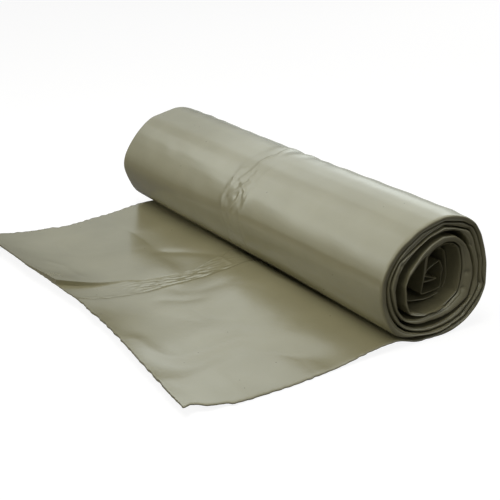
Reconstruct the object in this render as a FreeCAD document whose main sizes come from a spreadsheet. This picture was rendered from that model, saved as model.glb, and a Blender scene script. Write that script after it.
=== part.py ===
import FreeCAD, Part
import math
import os

from FreeCAD import Vector

# Bin bag roll: one long strip of folded film bags, wound round itself with no core.
# The wound strip lies along X and its free end lies on the floor in front of it, towards -Y.
# The origin is on the floor, under the middle of the roll's flat spot, and Z is up.

# Driving dimensions: name, value in millimetres, degrees or shares, and what it sets
SIZES = [
    ("roll_length", 350.0, "width of the folded strip, so the roll from end to end"),
    ("roll_width", 77.6, "front to back over the outer turn"),
    ("roll_height", 75.2, "floor to the top of the rounded outline, before it has sunk in"),
    ("corner_fullness", 2.45, "exponent of the rounded outline, 2 makes an ellipse"),
    ("sag_share", 0.135, "how far the outline has sunk in over the front, as a share"),
    ("sag_angle", 130.0, "where it has sunk in, from the back over the top"),
    ("sag_spread", 36.0, "how wide that stretch is"),
    ("spot_back", 13.0, "flat spot, from the origin to the back"),
    ("spot_front", 16.0, "flat spot, from the origin to the front"),
    ("spot_fade", 16.0, "stretch beyond the flat spot over which the roll turns up"),
    ("turn_count", 4.0, "thick outer turns"),
    ("turn_thickness", 3.1, "one turn, at the top and at the front"),
    ("turn_gap", 0.5, "air between neighbouring turns"),
    ("weight_squeeze", 0.24, "how much thinner a turn is under the roll, as a share"),
    ("crease_depth", 0.7, "height of the creases in the inner turns"),
    ("crease_reach", 13.0, "half width of a crease, as an angle round the roll"),
    ("slack_gap", 5.0, "widest gap outside the innermost thick turn"),
    ("slack_rest", 1.4, "the same gap where it is narrowest"),
    ("cuff_swell", 1.5, "how much thicker the innermost thick turn is at the back, as a share"),
    ("lip_depth", 1.5, "length of the rounded lips at both ends"),
    ("lip_wander", 0.6, "how far the ends of the turns run out of line"),
    ("coil_thickness", 0.9, "film of the lining and the loose coil in the hollow"),
    ("coil_recess", 12.5, "lining of the hollow, set back from the near end"),
    ("coil_far_recess", 6.0, "lining of the hollow, set back from the far end"),
    ("coil_step", 1.5, "how much further back each turn of the loose coil lies"),
    ("coil_room", 0.6, "air between the loose coil and the wall of the hollow"),
    ("sheet_thickness", 1.0, "through layer of the free end"),
    ("panel_thickness", 0.8, "folded-over panels on top of it"),
    ("sheet_width", 336.0, "width of the free end"),
    ("sheet_shift", 11.0, "how far the free end lies out towards the near end"),
    ("sheet_reach", 161.0, "origin to the middle of the free edge"),
    ("edge_bow", 3.5, "how far the corners of the free edge stand out beyond its middle"),
    ("far_panel_edge", 17.0, "folded edge of the far panel, from the middle"),
    ("far_panel_slant", 20.0, "how far that edge runs away at the free edge"),
    ("near_panel_edge", 6.0, "folded edge of the near panel, from the middle"),
    ("fold_slope", 1.0, "width of the slope at a panel's folded edge"),
    ("lift_height", 3.6, "free end, lifted where it leaves the roll"),
    ("lift_place", 29.0, "origin to the crest of that lift"),
    ("lift_reach", 45.0, "length over which that lift falls away"),
    ("curl_height", 8.5, "free edge, lifted at its middle"),
    ("corner_curl", 5.0, "free edge, lifted at its corners"),
    ("curl_reach", 42.0, "how far in from the free edge the curl begins"),
]

# Creases of the inner turns and of the innermost thick turn, from the back over the top
CREASES = [-49.0, -18.0, 6.0, 41.0, 78.0, 150.0, 178.0]
CUFF_CREASES = [-36.0, -9.0]

# Angle that one arc of the winding spans, and angle over which a lap's edges step sideways
STEP_ANGLE = 24.0
SIDE_STEP = 8.0

# Below these an edge counts as straight, four corners as flat, and a shift as along X
STRAIGHT = 0.01
FLAT = 1e-9
SAME_SHIFT = 1e-6
ALONG_X = 0.02

# Where on each turn the strip steps up onto the turn below it, as shares of the turn
STEP_UP = 0.8
FULL_FROM = 0.15

# Share of a turn over which the film still lines the hollow before it comes loose
LINING = 0.55

# Angle and spread, in degrees, of what changes round the roll
SQUEEZED = (320.0, 85.0)
CUFF_FULL = (-5.0, 77.0)
CUFF_LEAN = (190.0, 50.0)
SLACK = (172.0, 60.0)

# How much leaner the innermost thick turn is at the front, as a share
LEAN_SHARE = 0.3

# Turns before the end of the thick winding: slack opens and is open, cuff is full, film thins
SLACK_OPENS = 1.2
SLACK_OPEN = 0.95
CUFF_IS_FULL = 0.85
THINNING = 0.3

# Share of a turn by which the loose coil's first length lies on the end of the lining
COIL_LAP = 0.03

# Sharpest mitre of the loose coil, and the share of the way out where the far panel turns away
SHARP_MITRE = 1.0
SLANT_FROM = 0.7

# Middle line of the loose coil in the hollow, as shares of the hollow's half sizes
LOOSE_LOOP = [
    (-0.76, 0.36), (-0.64, -0.21), (-0.36, -0.68), (0.08, -0.87), (0.62, -0.84),
    (0.88, -0.62), (0.95, -0.16), (0.95, 0.20), (0.84, 0.52), (0.54, 0.68),
]
CRUMPLED_LOOP = [
    (0.23, 0.40), (0.06, -0.14), (-0.03, -0.67), (0.72, -0.64), (0.81, -0.25),
    (0.86, -0.08), (0.71, 0.30), (0.26, 0.06), (0.65, -0.31), (0.17, -0.31),
]

# Half section of a lip: share of the lip's depth in from the edge, share of the thickness
LIP = [(1.0, 0.0), (0.0, 0.35), (0.0, 0.65), (1.0, 1.0)]

# Side edges of the free end: share of the way out, and how far the edge strays outwards
NEAR_EDGE = [
    (0.0, -5.0), (0.25, -4.0), (0.40, -2.0), (0.58, 0.0), (0.72, -1.0), (0.90, -5.0), (1.0, -4.0),
]
FAR_EDGE = [(0.0, 0.0), (0.3, 2.0), (0.58, -2.0), (0.75, 2.0), (1.0, 3.0)]

# Steps across each panel of the free end, and out from the roll to the free edge
CROSS_STEPS = 4
REACH_STEPS = 14


def smooth_step(value, low, high):
    """0 below low, 1 above high and smooth between them."""
    share = min(max((value - low) / (high - low), 0.0), 1.0)
    return share * share * (3.0 - 2.0 * share)


def bell(angle, place):
    """1 at a place's angle, falling off on both sides over its spread."""
    middle, spread = place
    turn = (angle - middle + 180.0) % 360.0 - 180.0
    return math.exp(-(turn / spread) ** 2)


def between(points, share):
    """Value at a share along a short list of (share, value), smooth between its points."""
    for (start, first), (end, last) in zip(points, points[1:]):
        if share <= end:
            return first + (last - first) * smooth_step(share, start, end)
    return points[-1][1]


def rail(points):
    """Edge through a row of points: a line through two, an arc through three, else a curve."""
    if len(points) == 3:
        bend = (points[1] - points[0]).cross(points[2] - points[0])
        if bend.Length > STRAIGHT * (points[2] - points[0]).Length:
            return Part.Arc(points[0], points[1], points[2]).toShape()
    if len(points) <= 3:
        return Part.LineSegment(points[0], points[-1]).toShape()
    curve = Part.BSplineCurve()
    curve.interpolate(Points=points, Parameters=[float(i) for i in range(len(points))])
    return curve.toShape()


def flat_or_ruled(first, second):
    """Face between two edges, flat where both are straight and lie in one plane."""
    if "Line" not in first.Curve.TypeId or "Line" not in second.Curve.TypeId:
        return Part.makeRuledSurface(first, second)
    corners = [first.Vertexes[0].Point, first.Vertexes[1].Point]
    corners += [second.Vertexes[1].Point, second.Vertexes[0].Point]
    across = (corners[1] - corners[0]).cross(corners[2] - corners[0])
    if abs(across.dot(corners[3] - corners[0])) < FLAT * across.Length:
        return Part.Face(Part.makePolygon(corners + corners[:1]))
    return Part.makeRuledSurface(first, second)


def rail_face(first, second):
    """Face between two edges: drawn out along X where they are the same edge moved, else ruled."""
    shift = second.Vertexes[0].Point - first.Vertexes[0].Point
    moved = second.Vertexes[1].Point - first.Vertexes[1].Point
    along_x = math.hypot(shift.y, shift.z) < ALONG_X * abs(shift.x)
    if along_x and (moved - shift).Length < SAME_SHIFT:
        return first.extrude(shift)
    return flat_or_ruled(first, second)


def skin(spans):
    """Solid over spans of sections, each a flat ring of as many points.

    The rails run smoothly through a span's sections, and may turn sharply between spans.
    """
    first = spans[0][0]
    last = spans[-1][-1]
    faces = [Part.Face(Part.makePolygon(ring + ring[:1])) for ring in (first, last)]
    for sections in spans:
        rails = [rail(list(points)) for points in zip(*sections)]
        faces += [rail_face(rails[i - 1], rails[i]) for i in range(len(rails))]
    return closed(faces)


def closed(faces):
    """Solid inside a closed set of faces."""
    quilt = Part.Compound(faces)
    quilt.sewShape()
    solid = Part.Solid(quilt.Shells[0])
    if solid.Volume < 0.0:
        solid.reverse()
    return solid


class Roll:
    """The strip's winding, worked out from the sheet's sizes."""

    def __init__(self, size):
        self.size = size
        self.half_width = size["roll_width"] / 2.0
        self.half_height = size["roll_height"] / 2.0
        self.turns = int(round(size["turn_count"]))
        below = self.half_height - self.underside(size["spot_back"])
        self.first_angle = -math.degrees(math.atan2(below, size["spot_back"]))

    def underside(self, across):
        """Height of the rounded outline above the floor, before it settles flat."""
        power = self.size["corner_fullness"]
        share = min(abs(across) / self.half_width, 1.0)
        return self.half_height * (1.0 - (1.0 - share ** power) ** (1.0 / power))

    def settle(self, across):
        """0 over the flat spot, 1 well beyond it."""
        flat = self.size["spot_back"]
        return smooth_step(abs(across), flat, flat + self.size["spot_fade"])

    def outline(self, angle):
        """Distance from the roll's middle out to the rounded outline."""
        power = self.size["corner_fullness"]
        across = abs(math.cos(math.radians(angle))) / self.half_width
        upward = abs(math.sin(math.radians(angle))) / self.half_height
        sag = (self.size["sag_angle"], self.size["sag_spread"])
        sunk = self.size["sag_share"] * bell(angle, sag)
        return (across ** power + upward ** power) ** (-1.0 / power) * (1.0 - sunk)

    def full_thickness(self, angle):
        """Thickness of a turn, less under the roll's weight."""
        squeezed = self.size["weight_squeeze"] * bell(angle, SQUEEZED)
        return self.size["turn_thickness"] * (1.0 - squeezed)

    def crease(self, turns, angle):
        """Inset between two creases, nothing at a crease and on the outer turn."""
        places = CREASES if turns < self.turns - 1.0 else CUFF_CREASES
        near = min(abs((angle - place + 180.0) % 360.0 - 180.0) for place in places)
        share = min(near / self.size["crease_reach"], 1.0)
        return self.size["crease_depth"] * share * smooth_step(turns, STEP_UP, 1.0)

    def thickness(self, turns, angle):
        """Thickness of the strip, thin where it starts and where it lines the hollow."""
        size = self.size
        cuff = smooth_step(turns, self.turns - 1.0, self.turns - CUFF_IS_FULL)
        swell = size["cuff_swell"] * bell(angle, CUFF_FULL) - LEAN_SHARE * bell(angle, CUFF_LEAN)
        full = self.full_thickness(angle) * (1.0 + cuff * swell)
        start = size["sheet_thickness"] + size["panel_thickness"]
        grown = start + (full - start) * smooth_step(turns, 0.0, FULL_FROM)
        thinned = smooth_step(turns, self.turns - THINNING, self.turns)
        return grown + (size["coil_thickness"] - grown) * thinned

    def inset(self, turns, angle):
        """Distance from the outline in to the strip's outer side: what lies outside it."""
        size = self.size
        start = size["sheet_thickness"] + size["panel_thickness"]
        depth = (start + size["turn_gap"]) * smooth_step(turns % 1.0, STEP_UP, 1.0)
        for lap in range(int(turns)):
            depth += self.thickness(turns % 1.0 + lap, angle) + size["turn_gap"]
        cuff = smooth_step(turns, self.turns - SLACK_OPENS, self.turns - SLACK_OPEN)
        slack = size["slack_rest"]
        slack += (size["slack_gap"] - slack) * bell(angle, SLACK)
        return depth + cuff * slack + self.crease(turns, angle)

    def wall(self, turns, depth):
        """Point of the winding, at a depth in from the strip's outer side."""
        angle = self.first_angle + 360.0 * turns
        inset = self.inset(turns, angle) + depth
        reach = self.outline(angle) - inset
        across = reach * math.cos(math.radians(angle))
        upward = self.half_height + reach * math.sin(math.radians(angle))
        if upward < self.half_height:
            upward = inset + max(upward - inset, 0.0) * self.settle(across)
        return across, upward

    def edges(self, lap):
        """Far and near edge of the strip, along X, on a lap counted from the outside."""
        size = self.size
        half = size["roll_length"] / 2.0
        if lap < self.turns:
            wander = size["lip_wander"] * (lap % 3) / 2.0
            return wander - half, half - wander
        stepped = size["coil_step"] * (lap - self.turns)
        return size["coil_far_recess"] + stepped - half, half - size["coil_recess"] - stepped

    def ring(self, outer, inner, edges):
        """Section of the strip between an outer and an inner point, with rounded lips."""
        far, near = edges
        lip = self.size["lip_depth"]
        side = [(near - lip * back, share) for back, share in LIP]
        side += [(far + lip * back, share) for back, share in reversed(LIP)]
        return [Vector(place, outer[0] + (inner[0] - outer[0]) * share,
                       outer[1] + (inner[1] - outer[1]) * share) for place, share in side]

    def creased_stops(self):
        """Angles wound at which the strip is creased."""
        stops = []
        for turn in range(1, self.turns):
            places = CUFF_CREASES if turn == self.turns - 1 else CREASES
            stops += [(place - self.first_angle) % 360.0 + 360.0 * turn for place in places]
        return stops

    def wound_section(self, wound, lap):
        """Section of the strip at an angle wound, with a lap's edges."""
        turns = wound / 360.0
        depth = self.thickness(turns, self.first_angle + wound)
        outer = self.wall(turns, 0.0)
        inner = self.wall(turns, depth) if turns > 0.0 else (outer[0], outer[1] + depth)
        return self.ring(outer, inner, self.edges(lap))

    def lap_spans(self, lap, last):
        """Sections of one lap: a straight step sideways, then three to each arc."""
        begin = 360.0 * lap
        spans = []
        if lap > 0:
            stepped = [self.wound_section(begin, lap - 1), self.wound_section(begin + SIDE_STEP, lap)]
            spans.append(stepped)
            begin += SIDE_STEP
        creases = [place for place in self.creased_stops() if begin < place < last]
        stops = sorted([begin, last] + creases)
        for start, end in zip(stops, stops[1:]):
            count = max(int(round((end - start) / STEP_ANGLE)), 1)
            width = (end - start) / count
            for i in range(count):
                wound = [start + width * (i + share) for share in (0.0, 0.5, 1.0)]
                spans.append([self.wound_section(angle, lap) for angle in wound])
        return spans

    def wound_spans(self):
        """Sections of the thick turns and of the lining."""
        spans = []
        for lap in range(self.turns):
            spans += self.lap_spans(lap, 360.0 * (lap + 1))
        return spans + self.lap_spans(self.turns, 360.0 * (self.turns + LINING))

    def hollow_side(self, angle):
        """Point beside the lining of the hollow, where the loose coil's film may run."""
        turns = self.turns + ((angle - self.first_angle) % 360.0) / 360.0
        room = self.size["coil_room"] + self.size["coil_thickness"] * 1.5
        return self.wall(turns, room)

    def coil_line(self):
        """Middle line of the loose coil, beginning on the end of the lining."""
        left, right = self.hollow_side(180.0)[0], self.hollow_side(0.0)[0]
        low, high = self.hollow_side(270.0)[1], self.hollow_side(90.0)[1]
        line = []
        for turns in (self.turns + LINING - COIL_LAP, self.turns + LINING):
            line.append(self.wall(turns, self.size["coil_thickness"] / 2.0))
        for across, upward in LOOSE_LOOP + CRUMPLED_LOOP:
            line.append(((left + right) / 2.0 + (right - left) / 2.0 * across,
                         (low + high) / 2.0 + (high - low) / 2.0 * upward))
        return line

    def coil_spans(self, first):
        """Sections of the loose coil: a loop of arcs, then straight crumpled lengths."""
        line = self.coil_line()
        sections = [first]
        for i in range(2, len(line)):
            came = unit(line[i - 1], line[i])
            goes = unit(line[i], line[i + 1]) if i + 1 < len(line) else came
            middle = (came[0] + goes[0], came[1] + goes[1])
            mitre = self.size["coil_thickness"] / max(middle[0] ** 2 + middle[1] ** 2, SHARP_MITRE)
            side = (middle[1] * mitre, -middle[0] * mitre)
            outer = (line[i][0] + side[0], line[i][1] + side[1])
            inner = (line[i][0] - side[0], line[i][1] - side[1])
            lap = self.turns + (1 if i < len(LOOSE_LOOP) + 2 else 2)
            sections.append(self.ring(outer, inner, self.edges(lap)))
        loose = len(LOOSE_LOOP)
        arcs = [sections[i:i + 3] for i in range(1, loose - 2, 2)]
        straight = [sections[i:i + 2] for i in range(len(arcs) * 2 + 1, len(sections) - 1)]
        return [sections[:2]] + arcs + straight

    def strip(self):
        """The wound strip as one solid."""
        wound = self.wound_spans()
        return skin(wound + self.coil_spans(wound[-1][-1]))


def unit(start, end):
    """Direction from one point of a section to another."""
    across, upward = end[0] - start[0], end[1] - start[1]
    length = math.hypot(across, upward)
    return across / length, upward / length


class FreeEnd:
    """The strip's free end: a through layer with two folded-over panels on top."""

    def __init__(self, size, roll):
        self.size = size
        self.roll = roll

    def across(self, share, out):
        """X at a share of the width and a share of the way out."""
        half = self.size["sheet_width"] / 2.0
        far = self.size["sheet_shift"] - half - between(FAR_EDGE, out)
        near = self.size["sheet_shift"] + half + between(NEAR_EDGE, out)
        return far + (near - far) * share

    def forward(self, share, out):
        """Distance in front of the origin."""
        root = self.size["spot_front"]
        bow = self.size["edge_bow"] * (2.0 * share - 1.0) ** 2
        return root + (self.size["sheet_reach"] + bow - root) * out

    def height(self, share, forward):
        """Height of the sheet's underside above the floor."""
        size = self.size
        crest = size["lift_place"]
        lift = size["lift_height"] * smooth_step(forward, size["spot_front"], crest)
        lift *= 1.0 - smooth_step(forward, crest, crest + size["lift_reach"])
        if forward < self.roll.half_width:
            above = self.roll.underside(forward) * self.roll.settle(forward)
            room = above - size["sheet_thickness"] - size["panel_thickness"]
            lift = min(lift, max(room, 0.0))
        middle = 1.0 - (2.0 * share - 1.0) ** 2
        top = size["corner_curl"] + (size["curl_height"] - size["corner_curl"]) * middle
        curled = max((forward - size["sheet_reach"]) / size["curl_reach"] + 1.0, 0.0)
        return lift + top * curled ** 2

    def columns(self, start, width, slant):
        """Shares of the width where the section has points, and the thickness at each."""
        size = self.size
        far = (-size["far_panel_edge"] - slant - start) / width
        near = (size["near_panel_edge"] - start) / width
        slope = size["fold_slope"] / width
        thin = size["sheet_thickness"]
        thick = thin + size["panel_thickness"]
        rows = [(far * i / CROSS_STEPS, thick) for i in range(CROSS_STEPS + 1)]
        rows += [(far + slope, thin), (near - slope, thin)]
        return rows + [(near + (1.0 - near) * i / CROSS_STEPS, thick) for i in range(CROSS_STEPS + 1)]

    def section(self, out):
        """Underside and top of the free end, a share of the way out."""
        start = self.across(0.0, out)
        width = self.across(1.0, out) - start
        slant = self.size["far_panel_slant"] * smooth_step(out, SLANT_FROM, 1.0)
        under = []
        over = []
        for share, thick in self.columns(start, width, slant):
            forward = self.forward(share, out)
            low = self.height(share, forward)
            under.append(Vector(start + width * share, -forward, low))
            over.append(Vector(start + width * share, -forward, low + thick))
        return under, over

    def root_section(self):
        """Underside and top of the strip at the middle of the roll's flat spot."""
        width = self.size["roll_length"]
        under = []
        over = []
        for share, thick in self.columns(-width / 2.0, width, 0.0):
            under.append(Vector(width * (share - 0.5), 0.0, 0.0))
            over.append(Vector(width * (share - 0.5), 0.0, thick))
        return under, over

    def sheet(self):
        """The free end as one solid, from the roll's flat spot to the free edge."""
        rows = [self.section(i / REACH_STEPS) for i in range(REACH_STEPS + 1)]
        rings = [low + high[::-1] for low, high in [self.root_section()] + rows]
        faces = [Part.Face(Part.makePolygon(rings[0] + rings[0][:1]))]
        roots = [rail(list(points)) for points in zip(*rings[:2])]
        faces += [flat_or_ruled(roots[i - 1], roots[i]) for i in range(len(roots))]
        rails = [rail(list(points)) for points in zip(*rings[1:])]
        faces += [Part.makeRuledSurface(rails[i - 1], rails[i]) for i in range(len(rails))]
        under, over = rows[-1]
        for i in range(len(under) - 1):
            low = rail([under[i], under[i + 1]])
            faces.append(Part.makeRuledSurface(low, rail([over[i], over[i + 1]])))
        return closed(faces)


def make_sheet(doc):
    """Spreadsheet with every driving dimension, its name and its note."""
    table = doc.addObject("Spreadsheet::Sheet", "sizes")
    for row, (name, value, note) in enumerate(SIZES, start=1):
        table.set("A%d" % row, name)
        table.set("B%d" % row, str(value))
        table.setAlias("B%d" % row, name)
        table.set("C%d" % row, note)
    doc.recompute()
    return table


def make_root(doc):
    """Flat length of the strip under the roll, between the free end and the winding."""
    root = doc.addObject("Part::Box", "root_length")
    root.setExpression("Length", "sizes.roll_length")
    root.setExpression("Width", "sizes.spot_back")
    root.setExpression("Height", "sizes.sheet_thickness + sizes.panel_thickness")
    root.setExpression("Placement.Base.x", "-sizes.roll_length / 2")
    return root


def make_roll(doc, table):
    """The whole strip: the winding, the flat length under it and the free end, in one piece."""
    size = {name: float(table.get(name)) for name, value, note in SIZES}
    roll = Roll(size)
    winding = doc.addObject("Part::Feature", "winding")
    winding.Shape = roll.strip()
    free_end = doc.addObject("Part::Feature", "free_end")
    free_end.Shape = FreeEnd(size, roll).sheet()
    whole = doc.addObject("Part::MultiFuse", "bag_roll")
    whole.Shapes = [make_root(doc), winding, free_end]
    whole.Refine = True
    whole.Label = "bag_roll"
    return whole


def check(doc, parts):
    """Stop with a message if an object failed or a part is no sound solid."""
    for item in doc.Objects:
        if "Invalid" in item.State or "Error" in item.State:
            raise RuntimeError(item.Label + " failed: " + ", ".join(item.State))
    for item in parts:
        if item.Shape.isNull() or not item.Shape.isValid():
            raise RuntimeError(item.Label + " has no valid shape")
        if len(item.Shape.Solids) != 1:
            raise RuntimeError(item.Label + " is %d solids" % len(item.Shape.Solids))


def main():
    doc = FreeCAD.newDocument("bin_bag_roll")
    table = make_sheet(doc)
    parts = [make_roll(doc, table)]
    doc.recompute()
    check(doc, parts)
    os.makedirs("parts", exist_ok=True)
    for item in parts:
        item.Shape.exportStep("parts/" + item.Label + ".step")
        box = item.Shape.BoundBox
        print(item.Label, "%.1f x %.1f x %.1f mm" % (box.XLength, box.YLength, box.ZLength),
              "volume %.0f mm3" % item.Shape.Volume)


main()
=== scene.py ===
import math

import bmesh
import bpy
import numpy as np
from mathutils import Matrix, Vector


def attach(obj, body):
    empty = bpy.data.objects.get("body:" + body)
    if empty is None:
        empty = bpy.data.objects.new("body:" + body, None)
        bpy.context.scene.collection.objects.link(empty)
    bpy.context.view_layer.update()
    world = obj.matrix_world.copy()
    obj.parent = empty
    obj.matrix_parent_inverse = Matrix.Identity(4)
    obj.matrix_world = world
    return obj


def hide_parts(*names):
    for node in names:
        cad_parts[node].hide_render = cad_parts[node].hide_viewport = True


# Looks of a bin bag roll: one long strip of folded film, wound round itself with no core.
# Lengths are in millimetres until a mesh is made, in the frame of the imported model: X along the
# roll with the near end at +X, -Y towards the strip's free end, and the floor at z = 0.

MM = 0.001
HALF_LENGTH = 175.0
AXIS = (0.0, 37.4)

# Lines between the turns at the roll's near end, as (y, z), from the back over the top. The cuff is
# the innermost thick turn, with slack outside it and the hollow inside it.
OUTLINE = [
    (38.6, 38.2), (37.3, 47.6), (33.8, 58.5), (28.8, 66.6), (21.7, 71.3), (13.0, 73.8),
    (5.5, 74.4), (-3.2, 73.2), (-13.9, 69.9), (-21.9, 65.3), (-28.2, 60.2), (-33.1, 54.6),
    (-36.3, 49.3), (-38.3, 44.2), (-39.3, 38.0), (-39.1, 33.0), (-37.6, 25.0), (-35.2, 18.6),
    (-32.6, 13.6), (-29.6, 9.4), (-25.5, 5.6), (-20.0, 2.6), (-13.0, 0.9), (-6.0, 0.1),
    (1.0, 0.0), (8.0, 0.3), (15.0, 1.8), (20.0, 3.8), (25.4, 7.1), (29.6, 10.6),
    (33.7, 15.5), (36.7, 21.4), (38.3, 27.4), (38.8, 33.0),
]
FIRST_LINE = [
    (35.2, 40.0), (34.6, 45.0), (33.4, 50.0), (31.0, 57.3), (28.2, 63.0), (20.0, 67.6),
    (5.0, 70.6), (-10.0, 67.1), (-20.0, 61.2), (-27.0, 55.2), (-31.5, 48.8), (-33.8, 43.5),
    (-34.8, 37.0), (-34.2, 30.0), (-32.6, 24.0), (-29.8, 18.0), (-26.8, 13.2), (-22.0, 8.3),
    (-17.0, 5.4), (-8.0, 2.9), (0.0, 2.3), (5.0, 2.9), (10.0, 3.9), (15.0, 5.4),
    (22.5, 8.2), (27.5, 13.2), (31.5, 18.0), (35.0, 22.2), (36.6, 25.6), (35.1, 30.0),
    (34.9, 35.0),
]
SECOND_LINE = [
    (32.4, 40.0), (32.2, 42.6), (31.2, 45.5), (29.6, 51.5), (27.8, 57.0), (25.0, 61.6),
    (15.0, 65.4), (6.0, 67.7), (-5.0, 64.6), (-15.0, 59.2), (-26.4, 52.6), (-30.6, 45.0),
    (-32.7, 38.4), (-31.4, 31.5), (-29.2, 24.0), (-25.2, 16.0), (-20.0, 11.0), (-15.0, 8.0),
    (-10.0, 6.1), (-4.0, 5.0), (5.0, 5.7), (10.0, 6.9), (15.0, 8.7), (20.6, 10.8),
    (22.2, 13.0), (27.8, 18.2), (30.6, 22.2), (33.2, 26.4), (32.2, 30.0), (32.4, 35.0),
]
THIRD_LINE = [
    (28.4, 40.0), (27.1, 45.0), (24.6, 52.0), (22.2, 57.0), (18.2, 61.4), (12.0, 63.7),
    (5.0, 64.4), (-3.0, 62.7), (-10.0, 60.0), (-20.0, 52.4), (-26.0, 45.2), (-28.6, 36.0),
    (-27.2, 25.0), (-22.4, 16.2), (-15.0, 11.4), (-8.0, 9.0), (0.0, 8.4), (8.0, 9.8),
    (16.0, 12.9), (22.0, 16.4), (25.7, 20.0), (27.3, 25.0), (28.7, 30.0), (29.1, 34.0),
]
CUFF_OUTER = [
    (27.8, 39.5), (25.4, 48.0), (22.6, 53.2), (19.0, 57.4), (14.0, 61.0), (5.0, 62.2),
    (-3.0, 59.4), (-10.0, 55.2), (-20.0, 45.2), (-23.1, 37.0), (-22.2, 25.0), (-19.0, 17.6),
    (-14.0, 13.2), (-8.0, 11.0), (0.0, 10.5), (6.0, 10.9), (14.0, 13.0), (20.0, 16.2),
    (25.3, 20.0), (26.9, 25.0), (28.1, 30.0), (28.6, 33.6),
]
CUFF_INNER = [
    (21.0, 40.0), (20.3, 46.0), (18.8, 52.0), (14.8, 55.6), (8.0, 56.9), (0.0, 54.6),
    (-10.0, 49.6), (-19.4, 41.0), (-20.4, 36.0), (-19.6, 27.0), (-17.6, 20.2), (-8.0, 15.8),
    (0.0, 15.6), (10.0, 17.4), (18.4, 23.4), (20.0, 30.0), (20.8, 36.0),
]

# Where the strip starts, counted from the back over the top, and how its turns step inwards
FIRST_ANGLE = -70.0
STEP_INWARDS = (0.764, 0.931)
STEP_OFF_SHEET = (0.811, 0.903)
TURN_GAP = 0.8
LAST_LAP = 4
LINING = 0.55
LINING_THICKNESS = 0.8
LINING_SETBACK = 2.5

# Seeds of the outer turn's far and near edge, which the free end starts from
FAR_EDGE_SEED = 11
NEAR_EDGE_SEED = 12

# Middle radius of the roll, and the arc of one degree on it
ROLL_RADIUS = 38.0
ARC_STEP = 0.66

# How many sine waves a noise adds up, and its highest peak over its root mean square
WAVE_COUNT = 9
WAVE_PEAK = 1.6

# Steps of a closed line's corner points, and of the angles it is kept at
LINE_STEPS = 4000
LINE_ANGLE = 0.5

# Angle between faces, in degrees, from which an edge is drawn sharp
SHARP_ANGLE = 35.0


def smooth_step(value, low, high):
    """0 below low, 1 above high and smooth between them."""
    share = np.clip((np.asarray(value, float) - low) / (high - low), 0.0, 1.0)
    return share * share * (3.0 - 2.0 * share)


def bell(value, middle, spread):
    """1 at the middle, falling off over the spread on both sides."""
    return np.exp(-((np.asarray(value, float) - middle) / spread) ** 2)


def turned(angle, middle, spread):
    """The same round the roll, with both angles in degrees."""
    away = (np.asarray(angle, float) - middle + 180.0) % 360.0 - 180.0
    return np.exp(-(away / spread) ** 2)


def waves(places, seed, length):
    """Smooth noise between about -1 and 1 over a list of coordinate arrays."""
    draw = np.random.default_rng(seed)
    total = 0.0
    for _ in range(WAVE_COUNT):
        direction = draw.normal(size=len(places))
        direction *= 2.0 * math.pi / (length * draw.uniform(0.7, 1.6)) / np.linalg.norm(direction)
        phase = draw.uniform(0.0, 2.0 * math.pi)
        total = total + np.sin(sum(c * d for c, d in zip(places, direction)) + phase)
    return total / math.sqrt(WAVE_COUNT * 0.5) / WAVE_PEAK


class Line:
    """A closed line round the roll's middle, as a distance from it at any angle."""

    def __init__(self, points, softness):
        points = np.array(points + points[:1], float) - np.array(AXIS)
        steps = np.linspace(0.0, len(points) - 1.0, LINE_STEPS)
        index = np.arange(len(points))
        across = np.interp(steps, index, points[:, 0])
        upward = np.interp(steps, index, points[:, 1])
        angles = np.degrees(np.arctan2(upward, across)) % 360.0
        order = np.argsort(angles)
        self.angles = np.arange(0.0, 360.0, LINE_ANGLE)
        reach = np.interp(self.angles, angles[order], np.hypot(across, upward)[order], period=360.0)
        self.reach = self.softened(reach, softness)

    def softened(self, reach, softness):
        """The same line with its corners rounded over an angle."""
        away = (self.angles + 180.0) % 360.0 - 180.0
        weight = np.exp(-(away / softness) ** 2)
        weight /= weight.sum()
        return np.real(np.fft.ifft(np.fft.fft(reach) * np.fft.fft(weight)))

    def __call__(self, angle):
        return np.interp(np.asarray(angle, float) % 360.0, self.angles, self.reach, period=360.0)


OUTER_LINES = [Line(OUTLINE, 4.0), Line(FIRST_LINE, 2.2), Line(SECOND_LINE, 1.8),
               Line(CUFF_OUTER, 2.0)]
INNER_LINES = [OUTER_LINES[1], OUTER_LINES[2], Line(THIRD_LINE, 2.5), Line(CUFF_INNER, 4.0)]


def winding(turns):
    """Angle, outer reach and inner reach of the strip, at turns wound from its start."""
    lap = np.clip(np.floor(turns + 1e-9), 0, LAST_LAP).astype(int)
    part = turns - lap
    angle = FIRST_ANGLE + 360.0 * turns
    gap = TURN_GAP / 2.0
    outer = [OUTER_LINES[0](angle)]
    outer += [line(angle) - gap for line in OUTER_LINES[1:] + INNER_LINES[3:]]
    inner = [line(angle) + gap for line in INNER_LINES]
    inner += [INNER_LINES[3](angle) - gap - LINING_THICKNESS]
    step_in = smooth_step(part, *STEP_INWARDS)
    step_out = np.where(lap == 0, smooth_step(part, *STEP_OFF_SHEET), step_in)
    reaches = []
    for sides, step in ((np.stack(outer), step_out), (np.stack(inner), step_in)):
        here = np.take_along_axis(sides, lap[None], 0)[0]
        there = np.take_along_axis(sides, np.minimum(lap + 1, LAST_LAP)[None], 0)[0]
        reaches.append(here + (there - here) * step)
    return angle, reaches[0], reaches[1]


def placed(angle, reach):
    """(y, z) at an angle and a distance from the roll's middle."""
    turn = np.radians(angle)
    return AXIS[0] + reach * np.cos(turn), AXIS[1] + reach * np.sin(turn)


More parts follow.
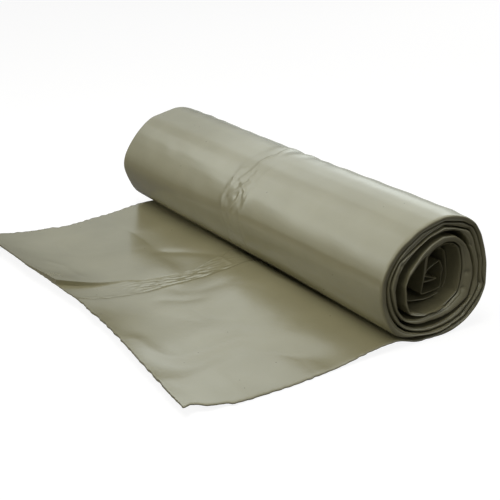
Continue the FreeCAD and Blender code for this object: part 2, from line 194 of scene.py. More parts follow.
# Section of a lip: how far back from the end, and share of the thickness from the outside.
# Both lists run from the middle of the thickness, one out and one in, and are as long.
TURN_LIP = (
    [(0.06, 0.42), (0.0, 0.33), (0.09, 0.22), (0.31, 0.13), (0.72, 0.065), (1.2, 0.025),
     (1.8, 0.006), (2.6, 0.0)],
    [(0.16, 0.52), (0.30, 0.61), (0.62, 0.70), (0.44, 0.77), (0.50, 0.86), (0.95, 0.95),
     (1.6, 0.99), (2.2, 1.0)],
)
THIN_LIP = (
    [(0.0, 0.4), (0.1, 0.2), (0.35, 0.05), (0.8, 0.0)],
    [(0.0, 0.6), (0.1, 0.8), (0.35, 0.95), (0.8, 1.0)],
)


def sections(edge_far, edge_near, lip, columns, slope=0.0):
    """X and share of the thickness of the outer and of the inner half of each section.

    The columns are places between -1 and 1. The slope sets the inner side of a lip back.
    """
    edge_far = np.asarray(edge_far, float)[:, None]
    edge_near = np.asarray(edge_near, float)[:, None]
    slope = np.broadcast_to(np.asarray(slope, float), (len(edge_far),))[:, None]
    halves = []
    for half in lip:
        back = np.array([b for b, s in half])
        share = np.array([s for b, s in half])
        inset = back[-1]
        reach = (edge_near - edge_far) / 2.0 - inset
        middle = (edge_near + edge_far) / 2.0 + reach * np.asarray(columns, float)
        near = edge_near - back[::-1] - slope * share[::-1]
        x = np.concatenate([edge_far + back, middle, near], axis=1)
        side = np.full(len(columns), share[-1])
        halves.append((x, np.concatenate([share, side, share[::-1]])))
    return halves


def strip_rings(halves, outer, inner):
    """Closed rings of points round a strip, from its outer and inner (y, z)."""
    rings = []
    for x, part in halves:
        y = outer[0] + (inner[0] - outer[0]) * part
        z = outer[1] + (inner[1] - outer[1]) * part
        rings.append(np.stack([x, y, z], axis=-1))
    return np.concatenate([rings[0], rings[1][:, ::-1]], axis=1)


def make_strip(name, rings):
    """Mesh object over rows of closed rings, with both ends filled."""
    rows, around = rings.shape[:2]
    half = around // 2
    index = np.arange(rows * around).reshape(rows, around)
    beside = np.roll(index, -1, axis=1)
    quads = np.stack([index[:-1], index[1:], beside[1:], beside[:-1]], axis=-1).reshape(-1, 4)
    side = np.arange(half - 1)
    first = np.stack([index[0][side], index[0][side + 1], index[0][around - 2 - side],
                      index[0][around - 1 - side]], axis=-1)
    last = np.stack([index[-1][around - 1 - side], index[-1][around - 2 - side],
                     index[-1][side + 1], index[-1][side]], axis=-1)
    faces = np.concatenate([quads, first, last])
    mesh = bpy.data.meshes.new(name)
    mesh.from_pydata((rings.reshape(-1, 3) * MM).tolist(), [], faces.tolist())
    shape = bmesh.new()
    shape.from_mesh(mesh)
    bmesh.ops.recalc_face_normals(shape, faces=shape.faces)
    shape.to_mesh(mesh)
    shape.free()
    mesh.shade_smooth()
    mesh.set_sharp_from_angle(angle=math.radians(SHARP_ANGLE))
    piece = bpy.data.objects.new(name, mesh)
    bpy.context.scene.collection.objects.link(piece)
    return piece


def lip_run(turns, seed, near):
    """How far the strip's edge lies in from the roll's end, along the winding."""
    angle = turns * 360.0
    drift = waves([angle], seed, 210.0) * 0.45
    ripple = waves([angle], seed + 1, 26.0) * 0.12
    stagger = ((np.floor(turns) * 2.0) % 3.0) * 0.3
    if near:
        return stagger - 0.35 + drift + ripple
    return 0.45 + stagger * 1.4 + drift + ripple


# Over the seam in the outer turn: ridges as height, x and spread, creases as height, width and a
# line of (x, angle), and dents as depth, width, x and angle
SEAM_RIDGES = [(0.30, 4.0, 11.0), (0.08, -10.5, 2.0), (0.14, 17.0, 1.8)]
SEAM_CREASES = [
    (0.58, 1.6, [(0.6, 178.0), (3.9, 171.0), (7.6, 163.0), (7.3, 156.0)]),
    (0.48, 1.5, [(-4.1, 160.0), (1.0, 155.0), (4.7, 150.0), (6.9, 144.0), (9.2, 139.0)]),
    (0.42, 1.3, [(7.0, 147.0), (12.0, 151.0), (13.0, 156.0)]),
    (0.14, 1.4, [(-9.4, 142.0), (-9.1, 131.0), (-4.3, 126.0)]),
    (0.14, 1.4, [(-8.4, 150.0), (-9.3, 143.0)]),
    (0.27, 1.3, [(-1.7, 141.0), (0.1, 136.0), (2.4, 128.0), (2.2, 120.0), (0.0, 110.0),
                 (-0.1, 100.0), (1.8, 89.0), (-4.0, 70.0)]),
    (0.21, 1.2, [(7.4, 136.0), (9.5, 130.0), (8.5, 125.0)]),
    (0.21, 2.0, [(-12.0, 165.0), (-8.6, 176.0), (-4.2, 188.0), (2.6, 195.0)]),
    (0.32, 1.7, [(7.0, 177.0), (3.2, 187.0), (-2.0, 197.0), (-8.8, 210.0)]),
    (0.21, 1.6, [(13.8, 171.0), (15.8, 180.0), (17.3, 192.0), (17.2, 203.0)]),
]
SEAM_DENTS = [(0.50, 2.6, 5.0, 158.0), (0.40, 2.4, 0.0, 147.5), (0.30, 1.6, 6.5, 140.0),
              (0.30, 2.6, -2.0, 168.0), (0.25, 2.4, 12.5, 163.0)]


def crease(across, along, width, line):
    """1 on a line of points, falling off over a width beside it and past its ends."""
    nearest = np.full(np.broadcast(across, along).shape, 1e9)
    for (a, b), (c, d) in zip(line[:-1], line[1:]):
        run, rise = c - a, d - b
        share = ((across - a) * run + (along - b) * rise) / (run * run + rise * rise)
        share = np.clip(share, 0.0, 1.0)
        away = np.hypot(across - a - share * run, along - b - share * rise)
        nearest = np.minimum(nearest, away)
    return np.exp(-(nearest / width) ** 1.6)


def seam_relief(angle, x):
    """Height of the seam's ridge, creases and dents on the outer turn."""
    ridge = sum(tall * bell(x, place, spread) for tall, place, spread in SEAM_RIDGES)
    height = ridge * (turned(angle, 165.0, 45.0) * 0.8 + 0.2)
    arc = angle * ARC_STEP
    for tall, width, line in SEAM_CREASES:
        height = height + tall * crease(x, arc, width, [(a, b * ARC_STEP) for a, b in line])
    for deep, width, place, middle in SEAM_DENTS:
        away = np.hypot(x - place, arc - middle * ARC_STEP)
        height = height - deep * np.exp(-(away / width) ** 2)
    return height


def surface_relief(angle, x):
    """Gentle unevenness of the outer turn, with a ripple along the roll's upper outline."""
    arc = np.radians((angle + 90.0) % 360.0 - 90.0) * ROLL_RADIUS
    long_waves = 0.30 * waves([x * 0.35, arc], 31, 60.0)
    streaks = 0.05 * waves([x * 0.25, arc], 32, 14.0)
    fine = 0.035 * waves([x, arc], 33, 16.0)
    edge = 0.32 * waves([x], 34, 22.0) * turned(angle, 50.0, 26.0)
    return long_waves + streaks + fine + edge


def seam_columns():
    """Places along the roll, close together over the seam and at the ends."""
    far = list(np.arange(-169.0, -24.0, 7.25))
    seam = list(np.arange(-18.0, 26.0, 0.8))
    near = list(np.arange(32.0, 170.0, 7.2))
    return np.array([-171.5] + far + seam + near + [171.5]) / 172.8


# How much fuller the roll is at its far end, as height, angle and spread, and the shares of that
# and of the relief that show on the outer turn's inner side
FULLNESS = [(4.6, 188.0, 48.0), (2.0, 88.0, 45.0)]
FULLNESS_INSIDE = 0.8
RELIEF_INSIDE = 0.6


def build_outer_turn():
    """The turn that shows from outside, with the seam across it."""
    # Rows by angle, closest over the front and where the turn steps inwards
    angles = np.concatenate([np.arange(FIRST_ANGLE, 60.0, 2.0), np.arange(60.0, 214.0, 1.1),
                             np.linspace(214.0, 290.0, 39)])
    turns = (angles - FIRST_ANGLE) / 360.0
    halves = sections(lip_run(turns, FAR_EDGE_SEED, False) - HALF_LENGTH,
                      HALF_LENGTH - lip_run(turns, NEAR_EDGE_SEED, True), TURN_LIP, seam_columns())
    x = halves[0][0]
    t = np.broadcast_to(turns[:, None], x.shape)
    angle, outer, inner = winding(t)
    free = (1.0 - smooth_step(t, 0.78, 0.86)) * smooth_step(t, 0.03, 0.12)
    far = smooth_step(x, 150.0, -HALF_LENGTH)
    bulge = sum(tall * turned(angle, middle, spread) for tall, middle, spread in FULLNESS)
    bulge = free * far * (bulge + 0.5 * waves([angle], 15, 46.0))
    outer = outer + bulge
    inner = inner + bulge * FULLNESS_INSIDE
    lift = free * (seam_relief(angle, x) + surface_relief(angle, x))
    flat = 1.0 - turned(angle, 270.0, 28.0)
    outer = outer + lift * flat
    inner = inner + lift * flat * RELIEF_INSIDE
    oy, oz = placed(angle, outer)
    iy, iz = placed(angle, inner)
    oz = np.maximum(oz, 0.0)
    return make_strip("outer_turn", strip_rings(halves, (oy, oz), (iy, iz)))


# Dents in the lips at the near end, as depth, width and (y, z)
LIP_DENTS = [
    (1.3, 1.2, 25.5, 61.8), (1.0, 1.1, 32.3, 43.0), (1.1, 1.2, 33.4, 26.4), (0.9, 1.2, 25.5, 52.0),
    (1.2, 1.3, 24.4, 35.2), (1.2, 1.2, 21.8, 25.4), (0.8, 1.2, 21.0, 10.7), (1.0, 1.6, -24.5, 50.8),
]


def dented(x, y, z):
    """X of the points of a strip, with the near lips pressed in at the dents."""
    lip = smooth_step(x, HALF_LENGTH - 9.0, HALF_LENGTH - 2.0)
    for deep, width, across, upward in LIP_DENTS:
        x = x - lip * deep * np.exp(-((y - across) ** 2 + (z - upward) ** 2) / width ** 2)
    return x


def build_inner_turns():
    """The thick turns inside the outer one and the lining of the hollow, as one strip."""
    turns = np.concatenate([np.linspace(1.0, LAST_LAP, 541),
                            np.linspace(LAST_LAP, LAST_LAP + LINING, 70)[1:]])
    lining = smooth_step(turns, LAST_LAP - 0.03, LAST_LAP + 0.03)
    cuff = smooth_step(turns, 2.9, 3.05) * (1.0 - lining)
    half = [0.1, 0.4, 0.66, 0.84, 0.92, 0.97, 0.995]
    columns = np.array([-place for place in reversed(half)] + half)
    slope = cuff * (0.8 + 2.2 * turned(FIRST_ANGLE + 360.0 * turns, 0.0, 60.0))
    halves = sections(lip_run(turns, 13, False) - HALF_LENGTH + lining * 6.0,
                      HALF_LENGTH - lip_run(turns, 14, True) - lining * LINING_SETBACK,
                      TURN_LIP, columns, slope)
    x = halves[0][0]
    angle, outer, inner = winding(np.broadcast_to(turns[:, None], x.shape))
    rings = strip_rings(halves, placed(angle, outer), placed(angle, inner))
    rings[..., 0] = dented(*np.moveaxis(rings, -1, 0))
    return make_strip("inner_turns", rings)


# Middle line of the loose film in the hollow, as (y, z): a loop, then its crumpled end
LOOSE_LOOP = [
    (-15.5, 46.0), (-17.6, 41.0), (-18.0, 36.0), (-17.4, 30.5), (-15.0, 25.0), (-11.5, 21.6),
    (-7.0, 19.9), (1.7, 18.9), (9.0, 19.5), (13.5, 20.8), (16.6, 23.2), (18.0, 27.0),
    (18.9, 33.0), (19.0, 39.5), (18.0, 44.5), (16.2, 47.6), (13.0, 49.4), (9.8, 49.3),
]
CRUMPLED = [
    (9.0, 48.6), (5.2, 45.6), (4.2, 41.5), (3.3, 36.5), (2.1, 30.0), (0.6, 22.6), (1.6, 22.0),
    (9.0, 22.2), (15.2, 22.9), (16.2, 25.0), (16.3, 31.6), (17.5, 34.6), (14.8, 40.6),
    (10.2, 38.8), (5.9, 36.4), (4.5, 34.6), (3.9, 32.6), (8.0, 31.2), (12.9, 29.6),
    (8.5, 29.2), (3.0, 29.2),
]
PATH_STEP = 0.7
PATH_SOFTNESS = 0.9
# How far it lies in from both ends, its thickness, the fold where it is thickest, as (y, z), and
# how far it sways along the hollow
COIL_SETBACK = 14.0
COIL_FAR_SETBACK = 9.0
COIL_THICKNESS = 0.75
COIL_FOLD = (4.2, 41.5)
COIL_SWAY = 1.1


def smoothed_path(points, spacing, softness):
    """Places and points at an even spacing along a line, with its corners rounded a little."""
    points = np.array(points, float)
    length = np.concatenate([[0.0], np.cumsum(np.hypot(*np.diff(points, axis=0).T))])
    place = np.linspace(0.0, length[-1], int(length[-1] / spacing) + 1)
    path = np.stack([np.interp(place, length, points[:, i]) for i in (0, 1)], axis=1)
    reach = 12
    kernel = np.exp(-(np.arange(-reach, reach + 1) * spacing / softness) ** 2)
    kernel /= kernel.sum()
    padded = np.concatenate([np.repeat(path[:1], reach, 0), path, np.repeat(path[-1:], reach, 0)])
    soft = np.stack([np.convolve(padded[:, i], kernel, "valid") for i in (0, 1)], axis=1)
    return place, soft


def build_coil():
    """The loose film in the hollow, with its crumpled end."""
    place, path = smoothed_path(LOOSE_LOOP + CRUMPLED, PATH_STEP, PATH_SOFTNESS)
    tangent = np.gradient(path, axis=0)
    tangent /= np.maximum(np.hypot(*tangent.T), 1e-6)[:, None]
    crumpled = smooth_step(place, 100.0, 130.0)
    near = HALF_LENGTH - COIL_SETBACK - 1.2 * crumpled - 0.5 * waves([place], 21, 24.0)
    far = COIL_FAR_SETBACK - HALF_LENGTH + 2.0 * crumpled + 0.8 * waves([place], 22, 24.0)
    columns = np.concatenate([np.linspace(-0.995, 0.5, 20), np.linspace(0.55, 0.99, 26)])
    halves = sections(far, near, THIN_LIP, columns)
    x = halves[0][0]
    s = np.broadcast_to(place[:, None], x.shape)
    depth = HALF_LENGTH - x
    amount = (0.25 + 0.75 * crumpled[:, None]) * smooth_step(depth, 16.0, 60.0)
    y = path[:, 0][:, None] + amount * COIL_SWAY * waves([s, depth * 0.6], 23, 38.0)
    z = path[:, 1][:, None] + amount * COIL_SWAY * waves([s, depth * 0.6], 24, 38.0)
    fold = np.argmin(np.hypot(path[:, 0] - COIL_FOLD[0], path[:, 1] - COIL_FOLD[1]))
    half = (COIL_THICKNESS + 1.3 * bell(place, place[fold], 9.0))[:, None] / 2.0
    across, upward = -tangent[:, 1][:, None], tangent[:, 0][:, None]
    outer = (y - across * half, z - upward * half)
    inner = (y + across * half, z + upward * half)
    return make_strip("loose_coil", strip_rings(halves, outer, inner))


# Side lines of the free end and of its panels, as (y, x), and its free edge, as (x, y)
NEAR_EDGE = [
    (-12.0, 174.8), (-25.0, 174.6), (-50.0, 175.4), (-75.0, 177.4), (-100.0, 180.0),
    (-120.0, 180.3), (-133.0, 180.4), (-136.5, 180.8), (-138.5, 178.7), (-149.0, 178.2),
    (-153.0, 175.6), (-157.0, 174.9), (-160.5, 178.0), (-164.0, 179.0), (-175.0, 178.4),
]
FAR_EDGE = [
    (-10.0, -173.5), (-16.0, -168.0), (-25.0, -159.5), (-45.0, -159.6), (-70.0, -158.6),
    (-82.0, -156.8), (-92.0, -153.6), (-104.0, -151.2), (-108.0, -151.6), (-116.0, -155.2),
    (-136.0, -155.4), (-149.0, -153.4), (-175.0, -153.8),
]
FAR_PANEL = [
    (13.0, -10.0), (-30.0, -9.0), (-45.0, -6.7), (-59.0, -5.2), (-72.0, -2.4), (-90.0, -4.0),
    (-105.0, -6.8), (-113.0, -13.4), (-120.0, -16.0), (-131.0, -17.6), (-144.0, -19.0),
    (-161.0, -17.5), (-175.0, -17.0),
]
NEAR_PANEL = [
    (13.0, 17.0), (-39.0, 18.0), (-52.0, 18.4), (-62.0, 16.8), (-73.0, 13.6), (-84.0, 11.2),
    (-97.0, 11.2), (-110.0, 12.6), (-124.0, 11.2), (-133.0, 10.2), (-145.0, 11.0), (-175.0, 12.4),
]
FREE_EDGE = [
    (-180.0, -172.4), (-113.0, -171.6), (-78.0, -169.4), (-60.0, -168.8), (-42.0, -166.0),
    (-11.0, -163.0), (15.0, -160.0), (37.0, -161.0), (50.0, -160.3), (79.0, -161.8),
    (113.0, -164.0), (133.0, -165.0), (156.0, -166.4), (169.0, -167.0), (190.0, -166.4),
]
# Creases on the top of the free end, as height, width and a line of (x, y)
FLAP_CREASES = [
    (-0.34, 4.4, [(-50.0, -70.0), (-37.0, -60.0), (-22.0, -51.0), (-7.0, -45.0)]),
    (0.38, 7.5, [(114.0, -98.0), (116.0, -115.0), (117.0, -126.0), (119.0, -138.0),
                 (116.0, -145.0), (110.0, -149.0), (98.0, -151.0), (88.0, -152.0)]),
    (0.25, 7.0, [(133.0, -108.0), (139.0, -133.0), (145.0, -149.0), (146.0, -156.0),
                 (145.0, -164.0)]),
    (-0.2, 6.5, [(18.0, -95.0), (26.0, -92.0), (33.0, -83.0), (35.0, -72.0), (36.0, -60.0)]),
    (-0.25, 5.0, [(32.0, -109.0), (40.0, -99.0), (44.0, -89.0)]),
    (0.25, 3.4, [(-72.0, -149.0), (-60.0, -142.0), (-44.0, -142.0), (-34.0, -140.0)]),
    (0.3, 1.6, [(-5.5, -46.0), (13.0, -47.0)]),
    (0.25, 1.5, [(12.5, -61.0), (11.0, -68.0), (5.6, -72.0), (8.2, -83.0), (7.6, -89.0)]),
    (0.25, 1.6, [(0.2, -99.0), (9.7, -101.0)]),
    (0.25, 1.5, [(-2.4, -108.0), (3.8, -114.5), (7.0, -102.5)]),
]
# Thickness of the through layer and of the panels on it, and how far the far one stands open
LAYER = 1.0
PANEL = 0.45
OPENING = 2.9
FREE_EDGE_Y = -162.0
# How far the free end is lifted in front of the roll, and how much further in its middle
LIFT = 3.9
HUMP = 3.3
# How far the free edge curls up at its corners and further in its middle, and from where
CORNER_CURL = 5.0
MIDDLE_CURL = 3.6
CURL_START = 121.0
CURL_REACH = 42.0


def edge_at(points, y):
    """X of a side line of the free end at a place in front of the roll."""
    points = sorted(points)
    return np.interp(y, [p[0] for p in points], [p[1] for p in points])


def start_section():
    """(y, z) of the outer and of the inner side of the strip where its winding starts."""
    angle, outer, inner = winding(np.array([0.0]))
    return [[float(v[0]) for v in placed(angle, reach)] for reach in (outer, inner)]


def free_end_floor(x, y):
    """Height of the free end's underside."""
    forward = -y
    (start_y, start_z), _ = start_section()
    rise = start_z * np.clip((y - 2.0) / (start_y - 2.0), 0.0, 1.0) ** 2
    hump = bell(x, 35.0, 85.0)
    climb = smooth_step(forward - 4.0 * hump, 10.0, 28.0 + 6.0 * hump)
    run = 44.0 + 32.0 * smooth_step(x, -20.0, 60.0) * (1.0 - smooth_step(x, 125.0, 168.0))
    lift = (LIFT + HUMP * hump) * climb * (1.0 - smooth_step((forward - 32.0) / run, 0.0, 1.0))
    share = np.clip((x + 158.0) / 333.0, 0.0, 1.0)
    top = CORNER_CURL + MIDDLE_CURL * (1.0 - (2.0 * share - 1.0) ** 2)
    curl = top * np.clip((forward - CURL_START) / CURL_REACH, 0.0, 1.3) ** 2
    wave = 0.45 * waves([x, y], 41, 95.0) * smooth_step(forward, 40.0, 80.0)
    return np.maximum(rise + lift + curl + np.maximum(wave, -0.2), 0.0)


def build_free_end():
    """The end of the strip that lies on the floor, with its two folded panels."""
    # Rows by share of the way to the free edge, closest over the creases near the roll
    rows = np.concatenate([np.linspace(0.0, 0.14, 14), np.linspace(0.14, 0.27, 16)[1:],
                           np.linspace(0.27, 0.79, 110)[1:], np.linspace(0.79, 1.0, 30)[1:]])
    outside, inside = start_section()
    y_row = outside[0] + (FREE_EDGE_Y - outside[0]) * rows
    root_row = smooth_step(y_row, -8.0, outside[0])
    near = edge_at(NEAR_EDGE, y_row) + 0.25 * waves([y_row], 42, 6.0)
    ragged = 0.6 * waves([y_row], 43, 7.0) * smooth_step(-y_row, 20.0, 40.0)
    far = edge_at(FAR_EDGE, y_row) - ragged
    start = np.zeros(1)
    near = near + (HALF_LENGTH - lip_run(start, NEAR_EDGE_SEED, True) - near) * root_row
    far = far + (lip_run(start, FAR_EDGE_SEED, False) - HALF_LENGTH - far) * root_row

    # Columns over the far panel, the open strip and the near panel, with a lip at each side
    edge_a = edge_at(FAR_PANEL, y_row)[:, None]
    edge_b = edge_at(NEAR_PANEL, y_row)[:, None]
    lip = [(0.0, 0.42), (0.15, 0.25), (0.5, 0.08)]
    back = np.array([b for b, s in lip])
    share = np.array([s for b, s in lip])
    inset = 1.4
    left, right = (far + inset)[:, None], (near - inset)[:, None]
    middle = np.concatenate([left + (edge_a - left) * np.linspace(0.0, 1.0, 64),
                             edge_a + (edge_b - edge_a) * np.linspace(0.0, 1.0, 42)[1:-1],
                             edge_b + (right - edge_b) * np.linspace(0.0, 1.0, 66)], axis=1)
    x = np.concatenate([far[:, None] + back, middle, near[:, None] - back[::-1]], axis=1)
    share = np.concatenate([share, np.zeros(middle.shape[1]), share[::-1]])

    bow = (np.interp(x, *zip(*FREE_EDGE)) - FREE_EDGE_Y) * rows[:, None] ** 3
    ragged = 0.35 * waves([x], 44, 13.0) + 0.2 * waves([x], 45, 5.0)
    y = y_row[:, None] + bow + ragged * smooth_step(rows[:, None], 0.95, 1.0)
    low = free_end_floor(x, y)
    opened = OPENING * smooth_step(-y, 112.0, 162.0)
    far_side = 1.0 - smooth_step(x, edge_a + 0.02, edge_a + 0.68)
    panel = far_side + smooth_step(x, edge_b - 0.9, edge_b + 0.5)
    thick = LAYER + PANEL * panel + opened * far_side * bell(x, edge_a, 24.0)
    root = smooth_step(y, -2.0, outside[0])
    thick = thick + (inside[1] - outside[1] - thick) * root
    top = thick + free_end_relief(x, y, panel)
    lean = (outside[0] - inside[0]) * root
    rings = [np.stack([x, y - lean * part, low + top * part], axis=-1)
             for part in (share, 1.0 - share)]
    return make_strip("free_end", np.concatenate([rings[0], rings[1][:, ::-1]], axis=1))


def free_end_relief(x, y, panel):
    """Wrinkles on the top of the free end."""
    forward = -y
    away = smooth_step(forward, 34.0, 56.0)
    strip = smooth_step(forward, 22.0, 66.0) * (1.0 - smooth_step(forward, 104.0, 130.0))
    strip = (1.0 - panel) * strip
    crumple = -0.12 * np.abs(waves([x * 1.2 + y * 0.4, y * 0.5], 51, 8.0)) * strip
    fine = 0.08 * waves([x, y * 0.6], 52, 3.4) * strip
    band = 0.18 * bell(x, edge_at(NEAR_PANEL, y) - 2.0, 2.0) * away
    band = band * (1.0 + waves([x, y], 54, 10.0))
    panels = 0.10 * waves([x * 0.7, y], 53, 42.0) * panel * away
    height = crumple + fine + band + panels
    for tall, width, line in FLAP_CREASES:
        height = height + tall * crease(x, y, width, line)
    return height


def add_node(tree, kind, inputs, **settings):
    """Shader node with its settings, and each input as a value or the output that feeds it."""
    node = tree.nodes.new("ShaderNode" + kind)
    for name, value in settings.items():
        setattr(node, name, value)
    for name, value in inputs.items():
        if isinstance(value, bpy.types.NodeSocket):
            tree.links.new(value, node.inputs[name])
        else:
            node.inputs[name].default_value = value
    return node


def compute(tree, operation, first, second):
    """Output of a Math node."""
    return add_node(tree, "Math", {0: first, 1: second}, operation=operation).outputs[0]


def noise(tree, where, scale, detail):
    """Output of a noise texture."""
    inputs = {"Vector": where, "Scale": scale, "Detail": detail}
    return add_node(tree, "TexNoise", inputs).outputs["Fac"]


def new_material(name):
    """Material with an empty node tree, and the tree."""
    material = bpy.data.materials.new(name)
    material.use_nodes = True
    material.node_tree.nodes.clear()
    return material, material.node_tree


# The film's two olive greys, by place on the noise that mixes them, and its dark specks
FILM = [(0.3, (0.232, 0.214, 0.126, 1.0)), (0.7, (0.262, 0.243, 0.146, 1.0))]
SPECK = (0.11, 0.10, 0.06, 1.0)
ROUGHNESS = (0.15, 0.26)


def film_material():
    """Matt-glossy plastic film, olive grey, softly mottled with sparse dark specks."""
    material, tree = new_material("film")
    where = add_node(tree, "TexCoord", {}).outputs["Object"]

    mottle = add_node(tree, "ValToRGB", {"Fac": noise(tree, where, 22.0, 6.0)})
    for stop, (place, colour) in zip(mottle.color_ramp.elements, FILM):
        stop.position, stop.color = place, colour
    cells = add_node(tree, "TexVoronoi", {"Vector": where, "Scale": 120.0})
    red = add_node(tree, "SeparateColor", {"Color": cells.outputs["Color"]}).outputs["Red"]
    small = compute(tree, "LESS_THAN", cells.outputs["Distance"], 0.05)
    speck = compute(tree, "MULTIPLY", small, compute(tree, "LESS_THAN", red, 0.3))
    colour = add_node(tree, "Mix", {0: speck, 6: mottle.outputs["Color"], 7: SPECK},
                      data_type="RGBA")

    rough = add_node(tree, "MapRange", {"Value": noise(tree, where, 60.0, 4.0),
                                        "To Min": ROUGHNESS[0], "To Max": ROUGHNESS[1]})
    grain = add_node(tree, "Bump", {"Height": noise(tree, where, 420.0, 3.0),
                                    "Strength": 0.2, "Distance": 0.0002})
    shader = add_node(tree, "BsdfPrincipled", {"Base Color": colour.outputs[2],
                                               "Roughness": rough.outputs["Result"],
                                               "Normal": grain.outputs["Normal"]})
    add_node(tree, "OutputMaterial", {"Surface": shader.outputs["BSDF"]})
    return material


def direct_sight(tree, in_gloss=1.0):
    """1 for camera and transmission rays, and a share of it for glossy ones."""
    path = add_node(tree, "LightPath", {}).outputs
    share = compute(tree, "MULTIPLY", path["Is Glossy Ray"], in_gloss)
    share = compute(tree, "MAXIMUM", path["Is Camera Ray"], share)
    return compute(tree, "MAXIMUM", share, path["Is Transmission Ray"])


FLOOR_GREY = (0.2, 0.2, 0.2, 1.0)
FLOOR_GLOW = 0.89
FLOOR_IN_GLOSS = 0.06


def floor_material():
    """Floor that the camera sees near white, and the gloss much darker, with the shadow on it."""
    material, tree = new_material("pale_floor")
    diffuse = add_node(tree, "BsdfDiffuse", {"Color": FLOOR_GREY})
    glow = add_node(tree, "Emission", {"Strength": FLOOR_GLOW})
    off = add_node(tree, "Emission", {"Strength": 0.0})
    pick = add_node(tree, "MixShader", {0: direct_sight(tree, FLOOR_IN_GLOSS),
                                        1: off.outputs[0], 2: glow.outputs[0]})
    both = add_node(tree, "AddShader", {0: diffuse.outputs[0], 1: pick.outputs[0]})
    add_node(tree, "OutputMaterial", {"Surface": both.outputs[0]})
    return material


# Light of the wall that the film reflects, as place on a ramp and level. The place is the height
# of a ray's direction, moved by each shift: the direction's axis, from, to, and by how much.
WALL = [(0.0, 0.3), (0.1, 0.3), (0.25, 0.5), (0.4, 1.0), (0.5, 0.85), (0.6, 1.3), (0.7, 2.7),
        (0.9, 2.2)]
WALL_SHIFTS = [("X", -0.858, -0.79, 0.42), ("X", -0.2, 0.7, -0.6), ("Y", -0.1, 0.45, 0.08)]
WALL_COLOUR = (0.93, 1.0, 0.98)
WHITE = (1.0, 1.0, 1.0, 1.0)
FILL = 0.22
# The ramp gives no more than 1, so it holds the levels divided by this
RAMP_RANGE = 4.0


def wall_strength(tree):
    """1 for the camera, and for reflections a wall that is darker towards the floor."""
    where = add_node(tree, "TexCoord", {}).outputs["Generated"]
    direction = add_node(tree, "SeparateXYZ", {0: where}).outputs
    place = direction["Z"]
    for axis, low, high, most in WALL_SHIFTS:
        shift = add_node(tree, "MapRange", {"Value": direction[axis], "From Min": low,
                                            "From Max": high, "To Max": most})
        place = compute(tree, "ADD", place, shift.outputs["Result"])
    levels = add_node(tree, "ValToRGB", {"Fac": place})
    ramp = levels.color_ramp
    ramp.interpolation = "B_SPLINE"
    ramp.elements[0].position, ramp.elements[1].position = WALL[0][0], WALL[-1][0]
    for stop_place, _ in WALL[1:-1]:
        ramp.elements.new(stop_place)
    for stop, (_, level) in zip(ramp.elements, WALL):
        stop.color = (level / RAMP_RANGE,) * 3 + (1.0,)
    level = compute(tree, "MULTIPLY", levels.outputs["Color"], RAMP_RANGE)
    camera = add_node(tree, "LightPath", {}).outputs["Is Camera Ray"]
    return add_node(tree, "Mix", {0: camera, 2: level, 3: 1.0}).outputs[0]


def make_world():
    """White for the camera, the wall in reflections, and a plain fill for all other light."""
    world = bpy.data.worlds.new("studio")
    bpy.context.scene.world = world
    world.use_nodes = True
    tree = world.node_tree
    tree.nodes.clear()
    camera = add_node(tree, "LightPath", {}).outputs["Is Camera Ray"]
    tint = add_node(tree, "Mix", {0: camera, 6: WALL_COLOUR + (1.0,), 7: WHITE}, data_type="RGBA")
    seen = add_node(tree, "Background", {"Color": tint.outputs[2],
                                         "Strength": wall_strength(tree)})
    fill = add_node(tree, "Background", {"Color": WHITE, "Strength": FILL})
    pick = add_node(tree, "MixShader", {0: direct_sight(tree), 1: fill.outputs[0],
                                        2: seen.outputs[0]})
    add_node(tree, "OutputWorld", {"Surface": pick.outputs[0]})


FLOOR_REACH = 6.0
FLOOR_Z = -0.0003


def make_floor():
    """Plain floor under the roll."""
    mesh = bpy.data.meshes.new("floor")
    corners = [(-1, -1), (1, -1), (1, 1), (-1, 1)]
    mesh.from_pydata([(x * FLOOR_REACH, y * FLOOR_REACH, 0) for x, y in corners],
                     [], [(0, 1, 2, 3)])
    floor = bpy.data.objects.new("floor", mesh)
    bpy.context.scene.collection.objects.link(floor)
    floor.location.z = FLOOR_Z
    floor.data.materials.append(floor_material())


# Lamps: name, place, aim and size in metres, power in watts, and whether the lamp is only seen in
# gloss. The others light the surface and aren't seen in it.
LAMPS = [
    ("above", (0.20, -0.28, 1.1), (0.0, -0.05, 0.0), (0.6, 0.8), 7.5, False),
    ("behind", (-0.6, 1.3, 0.7), (0.0, 0.0, 0.0), (0.8, 0.8), 2.6, False),
    ("low_front", (-0.12, -0.95, 0.30), (0.0, 0.0, 0.0), (0.4, 0.5), 1.7, False),
    ("panel_low", (-0.57, -0.34, 0.38), (0.1, -0.1, 0.0), (0.40, 0.14), 0.11, True),
    ("panel", (-0.50, -0.30, 0.49), (0.1, -0.1, 0.0), (0.50, 0.42), 0.60, True),
    ("floor_behind", (-1.0, 1.15, 0.002), (-1.0, 1.15, 1.0), (2.0, 2.0), 5.6, True),
]
LAMP_COLOUR = (1.0, 0.98, 0.92)


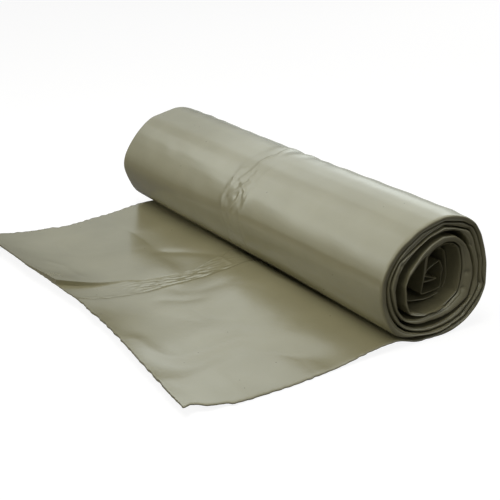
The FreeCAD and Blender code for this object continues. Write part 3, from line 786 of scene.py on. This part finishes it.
def make_lamp(name, place, aim, size, power, in_gloss):
    """Rectangular lamp at a place, turned to its aim."""
    data = bpy.data.lights.new(name, "AREA")
    data.shape = "RECTANGLE"
    data.size, data.size_y = size
    data.energy = power
    data.color = WALL_COLOUR if in_gloss else LAMP_COLOUR
    lamp = bpy.data.objects.new(name, data)
    lamp.location = place
    lamp.rotation_euler = (Vector(aim) - Vector(place)).to_track_quat("-Z", "Y").to_euler()
    lamp.visible_camera = False
    lamp.visible_glossy = in_gloss
    lamp.visible_diffuse = not in_gloss
    bpy.context.scene.collection.objects.link(lamp)


# Camera: place in millimetres, then azimuth, angle down and roll in degrees, and its focal length,
# which the photo's perspective gives in pixels of a picture 500 wide
CAMERA_PLACE = (621.4, -369.5, 270.4)
CAMERA_TURN = (60.986, 20.264, -2.626)
SENSOR = 36.0
FOCAL = 1066.111 / 500.0 * SENSOR


def make_camera():
    """The photo's camera."""
    a, e, r = (math.radians(v) for v in CAMERA_TURN)
    forward = Vector((-math.sin(a) * math.cos(e), math.cos(a) * math.cos(e), -math.sin(e)))
    level = Vector((math.cos(a), math.sin(a), 0.0))
    upright = level.cross(forward)
    right = level * math.cos(r) + upright * math.sin(r)
    up = upright * math.cos(r) - level * math.sin(r)
    data = bpy.data.cameras.new("camera")
    data.lens = FOCAL
    data.sensor_width = SENSOR
    data.clip_start = 0.01
    data.clip_end = 50.0
    camera = bpy.data.objects.new("camera", data)
    turn = Matrix((right, up, -forward)).transposed().to_4x4()
    camera.matrix_world = Matrix.Translation(Vector(CAMERA_PLACE) * MM) @ turn
    bpy.context.scene.collection.objects.link(camera)
    bpy.context.scene.camera = camera


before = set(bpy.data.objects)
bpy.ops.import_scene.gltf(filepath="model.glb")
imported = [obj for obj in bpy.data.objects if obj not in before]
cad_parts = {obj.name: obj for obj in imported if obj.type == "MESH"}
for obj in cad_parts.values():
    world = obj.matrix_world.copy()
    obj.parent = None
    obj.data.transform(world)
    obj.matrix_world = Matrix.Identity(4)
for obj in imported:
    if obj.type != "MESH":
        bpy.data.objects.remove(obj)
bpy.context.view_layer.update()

make_camera()
film = film_material()
pieces = [build_outer_turn(), build_inner_turns(), build_coil(), build_free_end()]
for piece in pieces:
    piece.data.materials.append(film)
    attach(piece, "root")
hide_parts("bag_roll")

make_floor()
make_world()
for lamp in LAMPS:
    make_lamp(*lamp)
bpy.context.scene.view_settings.view_transform = "Standard"
